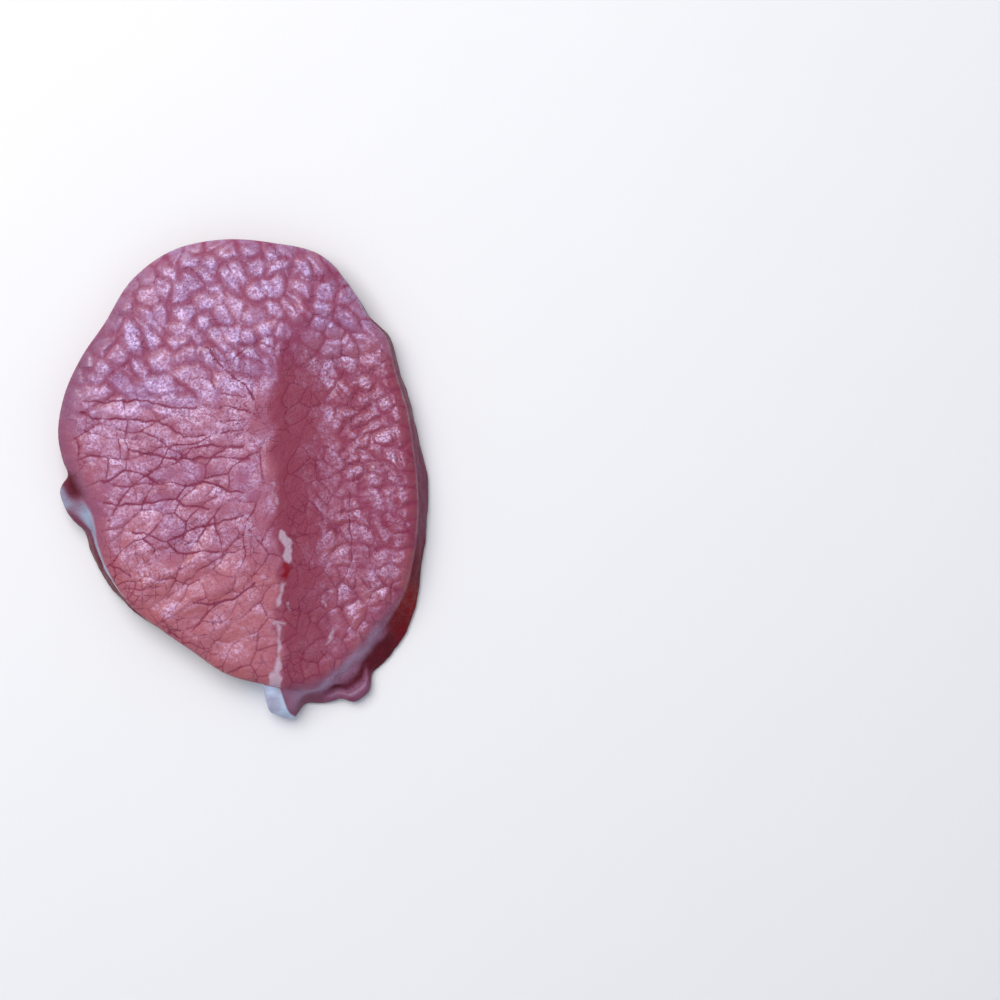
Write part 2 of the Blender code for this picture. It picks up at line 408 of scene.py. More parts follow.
@dataclass
class Lines:
    """Lines drawn on the cut face, bent by a slow wave and a quick wander, in millimetres."""

    wave: float
    wander: float
    wander_size: float
    salt: float

    def sway(self, x: Array, y: Array) -> tuple[Array, Array]:
        """Bend places by the slow wave alone."""
        return x + self.wave * np.sin(0.42 * y + 0.13 * x), y + self.wave * np.sin(0.37 * x - 0.11 * y)

    def warp(self, x: Array, y: Array) -> tuple[Array, Array]:
        """Bend the plane, so that straight lines wander.

        Args:
            x: Places along X.
            y: Places along Y.

        Returns:
            The bent places.
        """
        across, up = self.sway(x, y)
        across = across + self.wander * ripple(x, y, self.wander_size, self.salt)
        up = up + self.wander * ripple(x, y, self.wander_size * 0.9, self.salt + 4.7)
        return across, up

    def measure(self, across: Array, up: Array) -> tuple[Array, ...]:
        """Measure to the nearest line in the bent plane.

        Args:
            across: Bent places along X.
            up: Bent places along Y.

        Returns:
            Distances, how they grow along X and along Y, owners and reaches.
        """
        raise NotImplementedError

    def find(self, x: Array, y: Array) -> Find:
        """Find the nearest line to each place.

        Args:
            x: Places along X.
            y: Places along Y.

        Returns:
            What was found.
        """
        step, least_slope = 0.04, 0.35
        across, up = self.warp(x, y)
        right_x, right_y = self.warp(x + step, y)
        above_x, above_y = self.warp(x, y + step)
        gap, grow_x, grow_y, owner, reach = self.measure(across, up)
        slope_x = (grow_x * (right_x - across) + grow_y * (right_y - up)) / step
        slope_y = (grow_x * (above_x - across) + grow_y * (above_y - up)) / step
        steep = np.maximum(np.hypot(slope_x, slope_y), least_slope)
        return Find(gap / steep, -slope_x / steep, -slope_y / steep, owner, reach)


@dataclass
class Creases(Lines):
    """The main creases, each drawn as points from its outer end inwards."""

    paths: tuple[Corners, ...] = ()

    def measure(self, across: Array, up: Array) -> tuple[Array, ...]:
        """Measure to the nearest crease.

        Args:
            across: Bent places along X.
            up: Bent places along Y.

        Returns:
            Distances, how they grow along X and along Y, numbers of the creases, and the distances once more.
        """
        best = np.full(across.shape, np.inf)
        away_x, away_y = np.zeros_like(across), np.zeros_like(across)
        owner = np.zeros(across.shape, dtype=int)
        for number, path in enumerate(self.paths):
            for start, end in zip(path[:-1], path[1:]):
                gap_x, gap_y = path_offset(across, up, start, end)
                gap = np.hypot(gap_x, gap_y)
                nearer = gap < best
                best = np.where(nearer, gap, best)
                away_x, away_y = np.where(nearer, gap_x, away_x), np.where(nearer, gap_y, away_y)
                owner = np.where(nearer, number, owner)
        safe = np.maximum(best, TINY)
        return best, away_x / safe, away_y / safe, owner, best


@dataclass
class Net(Lines):
    """A net of lines between meat bundles that are scattered over the face."""

    sizes: dict[Part, tuple[float, float]] = field(default_factory=dict)
    seed: int = 7
    tries: int = 9000
    spacing: float = 0.8
    hub: tuple[float, float] = (7.1, 11.9)
    top_grain: float = -45.0
    lower_grain: float = 38.0
    half_span: float = 57.8
    top_start: float = 24.0
    right_start: float = 10.0
    lower_start: float = -21.0
    at_once: int = 2500
    bundles: Array = field(init=False)

    def __post_init__(self) -> None:
        """Scatter the bundles evenly over the face by throwing darts."""
        dice = np.random.default_rng(self.seed)
        self.bundles = np.array([self.bundle_at(0.0, 0.0)])
        for _ in range(self.tries):
            dart = dice.uniform(-self.half_span, self.half_span, 2)
            along, across = self.offsets(*self.sway(dart[:1], dart[1:]), self.bundles)
            if np.hypot(along, across).min() > self.spacing:
                self.bundles = np.vstack((self.bundles, self.bundle_at(*dart)))

    def part_at(self, x: float, y: float) -> Part:
        """Name the part of the face that a place is in.

        Args:
            x: Place along X.
            y: Place along Y.

        Returns:
            The part.
        """
        if y > self.top_start:
            return Part.TOP
        if x > self.right_start:
            return Part.RIGHT
        return Part.LOWER if y < self.lower_start else Part.LEFT

    def bundle_at(self, x: float, y: float) -> tuple[float, float, float, float, float]:
        """Describe the bundle whose middle is at a place.

        Args:
            x: Place along X.
            y: Place along Y.

        Returns:
            The place, the bundle's length and width, and its grain direction in radians.
        """
        part = self.part_at(x, y)
        grain = math.atan2(y - self.hub[1], x - self.hub[0])
        if part is Part.TOP:
            grain = math.radians(self.top_grain)
        if part is Part.LOWER:
            grain = math.radians(self.lower_grain)
        return (x, y, *self.sizes[part], grain)

    @staticmethod
    def offsets(across: Array, up: Array, bundles: Array) -> tuple[Array, Array]:
        """Measure from each place to the middle of every bundle, counted in that bundle's own sizes.

        Args:
            across: Bent places along X.
            up: Bent places along Y.
            bundles: One row a bundle, as bundle_at gives them.

        Returns:
            Offsets along and across the grain, one row a place and one column a bundle.
        """
        gap_x = across[:, None] - bundles[None, :, 0]
        gap_y = up[:, None] - bundles[None, :, 1]
        grain_x, grain_y = np.cos(bundles[:, 4]), np.sin(bundles[:, 4])
        return ((gap_x * grain_x + gap_y * grain_y) / bundles[:, 2],
                (gap_y * grain_x - gap_x * grain_y) / bundles[:, 3])

    def measure(self, across: Array, up: Array) -> tuple[Array, ...]:
        """Measure to the nearest line between two bundles.

        Args:
            across: Bent places along X.
            up: Bent places along Y.

        Returns:
            Distances, how they grow along X and along Y, numbers of the bundles, and how far out in them it is.
        """
        gap, grow_x, grow_y, middle = (np.zeros_like(across) for _ in range(4))
        owner = np.zeros(across.shape, dtype=int)
        for start in range(0, len(across), self.at_once):
            part = slice(start, start + self.at_once)
            along, aside = self.offsets(across[part], up[part], self.bundles)
            reach = np.hypot(along, aside)
            pair = np.argpartition(reach, 1, axis=1)[:, :2]
            row = np.arange(len(pair))
            swap = reach[row, pair[:, 0]] > reach[row, pair[:, 1]]
            near, next_near = np.where(swap, pair[:, 1], pair[:, 0]), np.where(swap, pair[:, 0], pair[:, 1])
            slopes = [self.slope(along[row, pick], aside[row, pick], self.bundles[pick]) for pick in (next_near, near)]
            ahead_x, ahead_y = slopes[0][0] - slopes[1][0], slopes[0][1] - slopes[1][1]
            steep = np.maximum(np.hypot(ahead_x, ahead_y), TINY)
            gap[part] = (reach[row, next_near] - reach[row, near]) / steep
            grow_x[part], grow_y[part], owner[part] = ahead_x / steep, ahead_y / steep, near
            middle[part] = reach[row, near]
        return gap, grow_x, grow_y, owner, middle

    @staticmethod
    def slope(along: Array, aside: Array, bundle: Array) -> tuple[Array, Array]:
        """Work out how a stretched distance grows.

        Args:
            along: Offsets along the grain, in the bundle's lengths.
            aside: Offsets across the grain, in the bundle's widths.
            bundle: One row a place: the bundle that is measured to.

        Returns:
            Growth along X and along Y.
        """
        reach = np.maximum(np.hypot(along, aside), TINY)
        part_along, part_aside = along / reach / bundle[:, 2], aside / reach / bundle[:, 3]
        grain_x, grain_y = np.cos(bundle[:, 4]), np.sin(bundle[:, 4])
        return part_along * grain_x - part_aside * grain_y, part_along * grain_y + part_aside * grain_x


@dataclass
class Relief:
    """Relief of the cut face: crowned bundles, the lines between them, creases and crinkles, in millimetres."""

    form: Form
    creases: Creases = field(default_factory=lambda: Creases(0.0, 0.35, 2.6, 8.1, (
        ((-39.5, 19.1), (-34.2, 18.8), (-24.6, 19.1), (-19.8, 17.9), (-16.2, 17.2), (-11.9, 17.6)),
        ((-39.5, 16.4), (-37.1, 14.8), (-29.4, 14.5), (-21.0, 14.0), (-18.6, 12.6), (-15.0, 10.4), (-10.2, 10.9)),
        ((-28.4, 7.6), (-24.6, 6.6), (-21.0, 6.1), (-16.9, 4.9), (-12.6, 5.2), (-6.6, 5.4), (0.6, 4.9)),
        ((-34.2, -0.4), (-31.3, 1.3), (-28.9, 2.3), (-24.1, 1.3), (-22.2, -0.4), (-19.8, -0.8)),
        ((-34.2, -5.4), (-30.6, -5.9), (-22.2, -5.2), (-16.9, -4.4), (-15.0, -5.9), (-9.0, -6.8)),
        ((-16.9, -4.4), (-15.0, -1.8), (-10.2, -0.1), (-4.9, -2.5), (-0.6, -3.0)),
        ((-27.5, -12.1), (-24.6, -12.6), (-22.2, -14.0), (-19.1, -14.8), (-16.9, -17.6), (-11.4, -17.2), (-6.6, -16.9)),
        ((-19.1, -14.8), (-12.6, -11.6), (-4.9, -9.5), (-0.6, -8.8)),
        ((-12.6, -29.6), (-6.6, -29.4), (-1.8, -27.7), (1.8, -24.6)),
        ((-10.2, 32.3), (-4.9, 26.3), (-0.6, 22.9), (1.8, 19.6)),
        ((-16.6, 4.7), (-13.0, 7.8), (-8.4, 8.4), (-1.0, 8.0)),
        ((-29.4, 19.1), (-28.6, 13.0), (-29.2, 9.5), (-28.4, 7.1), (-28.9, 2.3)),
        ((-39.0, 11.9), (-32.3, 10.0), (-28.9, 10.0)),
        ((-16.2, 4.7), (-23.4, 2.0)),
        ((-28.9, 2.3), (-26.3, -4.4)),
        ((-19.1, -28.2), (-15.0, -24.8), (-10.2, -20.8), (-4.2, -17.4), (0.6, -16.4)),
        ((-13.8, -36.6), (-10.2, -32.5), (-7.1, -29.6)),
        ((-33.0, -19.8), (-29.9, -21.7), (-27.7, -22.9)),
        ((-29.4, -25.8), (-25.8, -26.5), (-21.0, -25.3)),
        ((-18.6, -36.6), (-15.5, -37.8), (-10.2, -37.1)),
        ((-4.2, 26.8), (-1.8, 30.4), (2.3, 33.0), (9.0, 31.1)),
        ((-13.8, 24.6), (-9.0, 24.4), (-7.8, 22.0), (-4.9, 20.5), (-0.6, 20.0)),
        ((-9.0, 15.5), (-5.4, 13.8), (-0.6, 14.8)),
        ((24.4, -2.5), (24.6, -10.9), (24.8, -19.8), (22.7, -24.6)),
        ((13.8, -6.1), (18.6, -9.7), (23.9, -14.5)),
    )))
    strong_creases: int = 11
    bundles: Net = field(default_factory=lambda: Net(0.9, 0.42, 3.6, 4.4, {
        Part.LEFT: (12.0, 5.6), Part.RIGHT: (4.6, 3.6), Part.TOP: (5.2, 4.0), Part.LOWER: (10.0, 4.8)}))
    strands: Net = field(default_factory=lambda: Net(0.7, 0.25, 1.8, 2.2, {
        Part.LEFT: (4.8, 3.0), Part.RIGHT: (2.7, 2.2), Part.TOP: (3.0, 2.2), Part.LOWER: (5.0, 2.4)},
        seed=19, tries=16000, spacing=0.75))
    valley: Corners = ((8.5, 27.0), (15.0, 42.8), (18.6, 51.0))
    snap_reach: float = 0.15
    snap_end: float = 0.5
    snap_left: float = 0.015
    crease_width: float = 0.25
    bundle_width: float = 0.22
    strand_width: float = 0.2
    bundle_depth: float = 0.07
    bump_depth: float = 0.14
    dome_depth: float = 0.26
    strand_depth: float = 0.045
    pit_depth: float = 0.13
    pit_width: float = 0.17
    golden_step: float = 0.618

    def snap(self, x: Array, y: Array, free: Array) -> tuple[Array, Array]:
        """Slide places onto the line that is nearest, so that lines run along edges of the mesh.

        Args:
            x: Places along X.
            y: Places along Y.
            free: How far each place may slide, from 0 to 1.

        Returns:
            The new places.
        """
        finds = [lines.find(x, y) for lines in (self.creases, self.bundles, self.strands)]
        gaps = np.array([finds[0].gap * 0.7, finds[1].gap, finds[2].gap * 1.25])
        pick = gaps.argmin(axis=0)
        row = np.arange(len(x))
        gap = np.array([find.gap for find in finds])[pick, row]
        way_x = np.array([find.toward_x for find in finds])[pick, row]
        way_y = np.array([find.toward_y for find in finds])[pick, row]
        beyond = (gap - self.snap_reach) * (self.snap_end - self.snap_left) / (self.snap_end - self.snap_reach)
        left = np.where(gap < self.snap_reach, gap * 0.1, self.snap_left + beyond)
        slide = np.where(gap < self.snap_end, gap - left, 0.0) * free
        return x + slide * way_x, y + slide * way_y

    def shares(self, x: Array, y: Array) -> Marks:
        """Weigh each part of the face at each place.

        Args:
            x: Places along X.
            y: Places along Y.

        Returns:
            Shares of the bumpy top, the smooth band beside the seam, the lower left and the right.
        """
        beyond = self.form.beyond_seam(x, y) + 1.8 * ripple(x, y, 7.0, 3.3) + 0.9 * ripple(x, y, 2.6, 3.9)
        top = smooth_step(y + 4.0 * ripple(x, y, 14.0, 1.7) - 0.25 * x, 16.0, 30.0)
        band = smooth_step(beyond, -1.5, 1.8) * (1.0 - smooth_step(beyond, 11.0, 17.0))
        band = band * self.form.seam_share(y) * (1.0 - 0.25 * smooth_step(-y, 20.0, 40.0))
        band = band * (1.0 - 0.5 * smooth_step(y, 28.0, 40.0))
        right = smooth_step(beyond, 10.0, 16.0) * (1.0 - 0.4 * smooth_step(-y, 12.0, 26.0))
        right = right * (1.0 - 0.75 * smooth_step(y, 24.0, 36.0))
        lower = smooth_step(-y, 10.0, 26.0) * (1.0 - smooth_step(beyond, -2.0, 2.0))
        return {"top": top, "band": band, "right": right, "lower": lower}

    def heights(self, x: Array, y: Array) -> tuple[Array, Marks]:
        """Work out the relief and the marks that colour it.

        Args:
            x: Places along X.
            y: Places along Y.

        Returns:
            Heights to add, which are never above zero by much, and the marks by name.
        """
        parts = self.shares(x, y)
        calm = 1.0 - 0.75 * parts["band"]
        bumpy = np.maximum(parts["top"], 0.85 * parts["right"])
        crease, bundle, strand = (lines.find(x, y) for lines in (self.creases, self.bundles, self.strands))
        bundle_dice = np.mod(bundle.owner * self.golden_step, 1.0)
        strand_dice = np.mod(strand.owner * self.golden_step, 1.0)
        weight = np.where(crease.owner < self.strong_creases, 1.0, 0.65)
        weight = weight * np.clip(0.85 + 0.35 * ripple(x, y, 3.0, 21.0), 0.3, 1.1)
        quiet = 1.0 - 0.45 * np.maximum(parts["lower"], parts["band"])
        vary = np.clip(0.85 + 0.5 * ripple(x, y, 7.0, 11.0), 0.1, 1.1) * (0.5 + 0.5 * quiet)
        faint = np.clip(0.6 + 0.7 * ripple(x, y, 5.0, 13.0), 0.0, 1.0) * quiet
        # lines of the creases and the net, whose dark colour is partly painted shade in their grooves
        main_line = weight * bell(crease.gap, self.crease_width)
        bundle_line = vary * (0.66 - 0.36 * bumpy) * bell(bundle.gap, self.bundle_width)
        strand_line = faint * (0.4 - 0.32 * bumpy) * bell(strand.gap, self.strand_width)
        pit = bumpy * (bundle_dice < 0.5) * bell(bundle.reach, self.pit_width)
        flank = 1.0 - bell(bundle.reach, 0.46 + 0.12 * bundle_dice + 0.1 * ripple(x, y, 2.4, 43.0), 3)
        uneven = np.clip(0.75 + 0.8 * ripple(x, y, 3.4, 47.0), 0.1, 1.3)
        swell = np.clip(0.9 + 0.6 * ripple(x, y, 8.0, 41.0), 0.35, 1.4)
        # hollows: valleys, pits and the long valley between the domes, coloured darker rose, partly as painted shade
        hollow = 0.75 * flank + 0.5 * uneven * bell(bundle.gap, 0.5) + 0.6 * pit
        hollow += 0.6 * bell(path_gap(x, y, self.valley), 1.5)
        rise = -(self.bundle_depth + self.bump_depth * bumpy * swell * uneven) * calm * bell(bundle.gap, 0.7)
        rise -= self.dome_depth * bumpy * swell * calm * flank
        rise -= self.strand_depth * (1.0 - 0.4 * bumpy) * calm * bell(strand.gap, 0.45) + self.pit_depth * pit
        rise -= weight * (0.06 * bell(crease.gap, 0.3) + 0.13 * bell(crease.gap, 1.3))
        rise -= 0.04 * bundle_line + 0.03 * strand_line
        marks = {
            "furrow": np.clip(np.maximum(main_line, bundle_line + strand_line), 0.0, 1.0),
            "tone": bundle_dice * 0.6 + strand_dice * 0.4,
            "gloss": self.gloss(x, y, parts, 0.35 * bundle_dice + 0.3 * strand_dice),
            "hollow": np.clip(hollow * bumpy, 0.0, 1.0),
            **parts,
        }
        return rise + self.crinkles(x, y, calm, bumpy), marks

    @staticmethod
    def crinkles(x: Array, y: Array, calm: Array, bumpy: Array) -> Array:
        """Work out the small crinkles that break up the bundles.

        Args:
            x: Places along X.
            y: Places along Y.
            calm: 1 where the face is uneven, less on the smooth band.
            bumpy: How bumpy the face is, from 0 to 1.

        Returns:
            Heights to add, of both signs.
        """
        broad = 0.06 * ripple(x, y, 3.6, 5.9) * (0.3 + 0.7 * calm)
        middle = (0.035 + 0.035 * bumpy) * ripple(x, y, 1.9, 7.7) * (0.3 + 0.7 * calm)
        fine = (0.025 + 0.025 * bumpy) * ripple(x, y, 0.95, 9.9) * (0.35 + 0.65 * calm)
        return broad + middle + fine

    def gloss(self, x: Array, y: Array, parts: Marks, dice: Array) -> Array:
        """Work out how wet each place looks.

        Args:
            x: Places along X.
            y: Places along Y.
            parts: Shares of the parts of the face.
            dice: What each bundle and strand adds of its own.

        Returns:
            Strengths of the damp coat.
        """
        bumpy = np.maximum(parts["top"], 0.85 * parts["right"])
        crest = bell(self.form.beyond_seam(x, y) + 1.5, 3.5) * (1.0 - parts["top"])
        wet = 0.36 + dice + 0.6 * ripple(x, y, 4.2, 17.0) + 0.54 * bumpy
        wet = wet - 0.18 * parts["lower"] - 0.35 * crest - 0.35 * parts["band"] - 0.3 * parts["right"]
        return np.clip(wet + 0.8 * parts["top"] * smooth_step(x, 4.0, 14.0), 0.06, 1.3)


@dataclass(frozen=True)
class Streak:
    """A streak of fat or blood on the face: its path and its half width, in millimetres."""

    path: Corners
    half_width: float


@dataclass(frozen=True)
class Stretch:
    """A stretch of the rim and the wall below it: its middle bearing and half its length, in degrees."""

    middle: float
    half: float

    def share(self, bearing: Array) -> Array:
        """Share of the stretch, 1 well within it and 0 beyond it."""
        return bell(turned(bearing, self.middle), self.half, 6)


@dataclass(frozen=True)
class WallPlan:
    """Where the rim and the side wall carry fat, membrane, blood and shade; widths are in millimetres."""

    lump: Stretch = Stretch(186.3, 5.0)
    ribbon: Stretch = Stretch(205.0, 18.0)
    # painted shade over the fat of the left wall
    fat_shade: Stretch = Stretch(193.0, 24.0)
    # painted shadow in the gap between the rim and the fat lump
    gap_shade: Stretch = Stretch(181.5, 4.6)
    tab: Stretch = Stretch(277.0, 6.0)
    fold: Stretch = Stretch(296.0, 16.5)
    below_fold: Stretch = Stretch(285.0, 6.5)
    strip: Stretch = Stretch(301.0, 19.0)
    shade: Stretch = Stretch(301.0, 16.0)
    pool: Stretch = Stretch(320.5, 7.6)
    thin_line: Stretch = Stretch(10.0, 46.0)
    upper: Stretch = Stretch(12.0, 34.0)
    # left rim, which gets the membrane's grey mauve, partly as painted sheen
    left_rim: Stretch = Stretch(160.0, 42.0)
    depth: float = 8.0
    lump_fades: float = 188.5
    tab_end: float = 278.8
    tab_spread: float = 2.2
    fold_sinks: float = 281.5
    # bearing below which the pool gets painted shade
    pool_shade_end: float = 319.5
    ribbon_width: float = 1.3
    fold_width: float = 1.5
    strip_width: float = 2.3
    # width of the painted sheen along the top's rim
    border_width: float = 2.6
    line_width: float = 0.34


@dataclass(frozen=True)
class FleshFinish:
    """Colours and shine of the raw meat."""

    lean: Colour = (0.36, 0.098, 0.147)
    warm: Colour = (0.47, 0.14, 0.15)
    mauve: Colour = (0.31, 0.09, 0.18)
    # mauve bloom of the meat together with painted sheen: the bluish cast of the wet top's shine
    bloom_and_sheen: Colour = (0.33, 0.15, 0.31)
    # painted sheen: pale bluish mauve along the top's rim, where the face rounds down
    edge_sheen: Colour = (0.42, 0.27, 0.46)
    # darker red: painted shade on the seam's slope, which falls away from the light, and a darker red over the right
    # part
    deep: Colour = (0.27, 0.043, 0.076)
    # darker rose of the fine grain, and of the hollows between the domes, where it is partly painted shade
    rose: Colour = (0.27, 0.04, 0.092)
    # dark crimson of the lines between bundles and strands: the meat's seams, darkened further as painted shade in the
    # grooves
    furrow: Colour = (0.205, 0.018, 0.055)
    fat: Colour = (0.54, 0.39, 0.50)
    wall_fat: Colour = (0.53, 0.64, 0.84)
    # painted shade: darker grey blue for the fat of the left wall
    shaded_fat: Colour = (0.33, 0.38, 0.52)
    fold_fat: Colour = (0.36, 0.23, 0.36)
    skin: Colour = (0.245, 0.083, 0.155)
    # dark red of the side wall, made darker still as painted shade
    side: Colour = (0.14, 0.006, 0.02)
    shade: Colour = (0.10, 0.006, 0.014)
    blood: Colour = (0.24, 0.002, 0.010)
    pool_dark: Colour = (0.21, 0.0, 0.004)
    specular_level: float = 0.08
    coat_weight: float = 1.0
    coat_roughness: float = 0.29
    subsurface_weight: float = 0.12


def add_node(tree: bpy.types.ShaderNodeTree, kind: str, inputs: dict[str | int, object] | None = None,
             **settings: object) -> bpy.types.ShaderNode:
    """Add a shader node, set it and feed its inputs.

    Args:
        tree: Node tree that gets the node.
        kind: Kind of node, such as Math.
        inputs: Values or sockets for its inputs, by name or number.
        settings: Values of its own settings, by name.

    Returns:
        The node.
    """
    node = tree.nodes.new("ShaderNode" + kind)
    for label, value in settings.items():
        setattr(node, label, value)
    for label, value in (inputs or {}).items():
        if isinstance(value, Socket):
            tree.links.new(value, node.inputs[label])
        else:
            node.inputs[label].default_value = value
    return node


class Groups:
    """Shader node groups that the meat's finish uses, the grain more than once."""

    def __init__(self) -> None:
        """Build the groups once."""
        self.grain = self.build_grain()
        self.cracks = self.build_cracks()

    @staticmethod
    def start(name: str, inputs: dict[str, float], outputs: tuple[str, ...]) -> bpy.types.ShaderNodeTree:
        """Start a node group with named sockets.

        Args:
            name: Name of the group.
            inputs: Number inputs with their default values; a Vector input is always added.
            outputs: Names of its number outputs.

        Returns:
            The group's node tree with its input and output nodes in place.
        """
        tree = bpy.data.node_groups.new(name, "ShaderNodeTree")
        tree.interface.new_socket("Vector", in_out="INPUT", socket_type="NodeSocketVector")
        for label, value in inputs.items():
            socket = tree.interface.new_socket(label, in_out="INPUT", socket_type="NodeSocketFloat")
            socket.default_value = value
        for label in outputs:
            tree.interface.new_socket(label, in_out="OUTPUT", socket_type="NodeSocketFloat")
        tree.nodes.new("NodeGroupInput").name = "in"
        tree.nodes.new("NodeGroupOutput").name = "out"
        return tree

    def build_grain(self) -> bpy.types.ShaderNodeTree:
        """Build the fine damp grain of meat, fat and membrane.

        Returns:
            A group that puts out a Height and a Tone.
        """
        tree = self.start("damp_grain", {"Scale": 900.0, "Roughness": 0.6}, ("Height", "Tone"))
        given, out = tree.nodes["in"].outputs, tree.nodes["out"].inputs
        share = add_node(tree, "Math", {0: given["Scale"], 1: 0.28}, operation="MULTIPLY")
        for scale, detail, label in ((given["Scale"], 3.0, "Height"), (share.outputs[0], 2.0, "Tone")):
            inputs = {"Vector": given["Vector"], "Scale": scale, "Detail": detail, "Roughness": given["Roughness"]}
            tree.links.new(add_node(tree, "TexNoise", inputs).outputs["Fac"], out[label])
        return tree

    def build_cracks(self) -> bpy.types.ShaderNodeTree:
        """Build the web of thin lines that splits a bundle into strands.

        Returns:
            A group that puts out a Line mask, 1 on a line.
        """
        tree = self.start("thin_web", {"Scale": 330.0, "Width": 0.07, "Wander": 0.0012}, ("Line",))
        given, out = tree.nodes["in"].outputs, tree.nodes["out"].inputs
        wander = add_node(tree, "TexNoise", {"Vector": given["Vector"], "Scale": 420.0, "Detail": 2.0})
        centre = add_node(tree, "VectorMath", {0: wander.outputs["Color"], 1: (0.5, 0.5, 0.5)}, operation="SUBTRACT")
        scaled = add_node(tree, "VectorMath", {0: centre.outputs[0], "Scale": given["Wander"]}, operation="SCALE")
        moved = add_node(tree, "VectorMath", {0: given["Vector"], 1: scaled.outputs[0]}, operation="ADD")
        web = add_node(tree, "TexVoronoi", {"Vector": moved.outputs[0], "Scale": given["Scale"]},
                       feature="DISTANCE_TO_EDGE")
        limits = {"From Min": 0.0, "From Max": given["Width"], "To Min": 1.0, "To Max": 0.0}
        band = add_node(tree, "MapRange", {"Value": web.outputs["Distance"], **limits},
                        interpolation_type="SMOOTHSTEP")
        tree.links.new(band.outputs["Result"], out["Line"])
        return tree


class Painter:
    """Lays out the nodes of one material."""

    def __init__(self, name: str) -> None:
        """Start a material with a Principled shader.

        Args:
            name: Name of the material.
        """
        self.material = bpy.data.materials.new(name)
        self.material.use_nodes = True
        self.tree = self.material.node_tree
        self.shader = self.tree.nodes["Principled BSDF"]
        self.place = add_node(self.tree, "TexCoord").outputs["Object"]

    def mark(self, name: str) -> Socket:
        """Read a mark that the mesh carries.

        Args:
            name: Name of the mesh attribute.

        Returns:
            The socket with its value.
        """
        return add_node(self.tree, "Attribute", attribute_name=name).outputs["Fac"]

    def group(self, tree: bpy.types.ShaderNodeTree, **values: float) -> bpy.types.ShaderNodeGroup:
        """Place a shared group in this material, read at the object's own places.

        Args:
            tree: The group's node tree.
            values: Values of its inputs, by name.

        Returns:
            The group node.
        """
        return add_node(self.tree, "Group", {"Vector": self.place, **values}, node_tree=tree)

    def sum_up(self, operation: str, first: Socket | float,
               second: Socket | float) -> Socket:
        """Join two values by a sum.

        Args:
            operation: Name of the Math operation.
            first: First value or socket.
            second: Second value or socket.

        Returns:
            The socket with the result.
        """
        return add_node(self.tree, "Math", {0: first, 1: second}, operation=operation).outputs[0]

    def ease(self, value: Socket, low: float, high: float,
             start: float = 0.0, end: float = 1.0) -> Socket:
        """Ease a value from one range into another.

        Args:
            value: The value's socket.
            low: Value that gives start.
            high: Value that gives end.
            start: First result.
            end: Last result.

        Returns:
            The socket with the result.
        """
        limits = {"From Min": low, "From Max": high, "To Min": start, "To Max": end}
        node = add_node(self.tree, "MapRange", {"Value": value, **limits}, interpolation_type="SMOOTHSTEP")
        return node.outputs["Result"]

    def blend(self, share: Socket, under: Socket | Colour, over: Socket | Colour) -> Socket:
        """Lay one colour over another.

        Args:
            share: How much of the upper colour shows.
            under: Lower colour.
            over: Upper colour.

        Returns:
            The socket with the colour.
        """
        node = add_node(self.tree, "Mix", {"Factor": share}, data_type="RGBA")
        sockets = [socket for socket in node.inputs if socket.type == "RGBA"]
        for socket, colour in zip(sockets, (under, over)):
            if isinstance(colour, Socket):
                self.tree.links.new(colour, socket)
            else:
                socket.default_value = (*colour, 1.0)
        return next(socket for socket in node.outputs if socket.type == "RGBA")

    def lay(self, colour: Socket | Colour, *layers: tuple[Socket, Socket | Colour]) -> Socket:
        """Lay colours over each other in turn.

        Args:
            colour: Lowest colour.
            layers: How much of each layer shows, and its colour.

        Returns:
            The socket with the colour.
        """
        for share, over in layers:
            colour = self.blend(share, colour, over)
        return colour

    def shine(self, specular: float, coat_roughness: float, subsurface: float) -> None:
        """Set how sharp the damp coat is and the glow of light under the surface.

        Args:
            specular: Specular level under the coat.
            coat_roughness: Roughness of the coat.
            subsurface: Weight of the light that passes under the surface.
        """
        self.shader.inputs["Specular IOR Level"].default_value = specular
        self.shader.inputs["Coat Roughness"].default_value = coat_roughness
        self.shader.inputs["Subsurface Weight"].default_value = subsurface
        self.shader.inputs["Subsurface Radius"].default_value = (1.0, 0.32, 0.26)
        self.shader.inputs["Subsurface Scale"].default_value = 0.0018

    def bump(self, height: Socket, depth: float) -> None:
        """Press a height pattern into the surface.

        Args:
            height: Socket with the height, of about 0 to 1.
            depth: Depth in metres.
        """
        node = add_node(self.tree, "Bump", {"Height": height, "Distance": depth})
        self.connect(node.outputs["Normal"], "Normal")

    def connect(self, socket: Socket, label: str) -> None:
        """Feed a socket into the shader."""
        self.tree.links.new(socket, self.shader.inputs[label])


